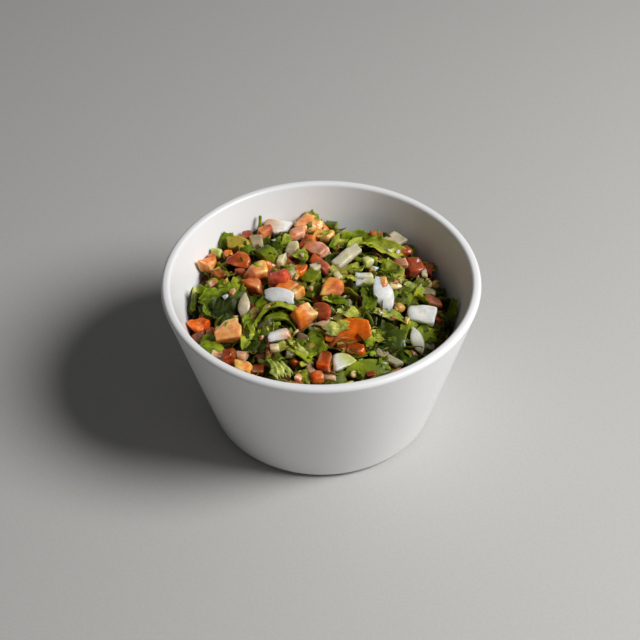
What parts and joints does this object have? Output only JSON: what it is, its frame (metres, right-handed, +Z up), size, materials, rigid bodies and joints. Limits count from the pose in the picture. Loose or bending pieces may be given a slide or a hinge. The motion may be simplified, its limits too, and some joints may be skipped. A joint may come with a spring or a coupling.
{
  "type": "bowl of pico de gallo",
  "caption": "Chopped tomato, onion, green pepper and herb leaves heaped in a small round white bowl with a straight flared wall.",
  "frame": {"origin": "centre of the bowl's footprint, at the height of the surface it stands on", "axes": "+Z up along the bowl's axis, -Y towards the viewer of the picture, +X to the viewer's right"},
  "size_m": [0.11, 0.11, 0.0585],
  "materials": {
    "bowl": "glazed white porcelain",
    "pico_heap": "wet chopped vegetables"
  },
  "bodies": {
    "root": {"bowl": "bowl", "pico_heap": "pico_heap"}
  },
  "joints": []
}
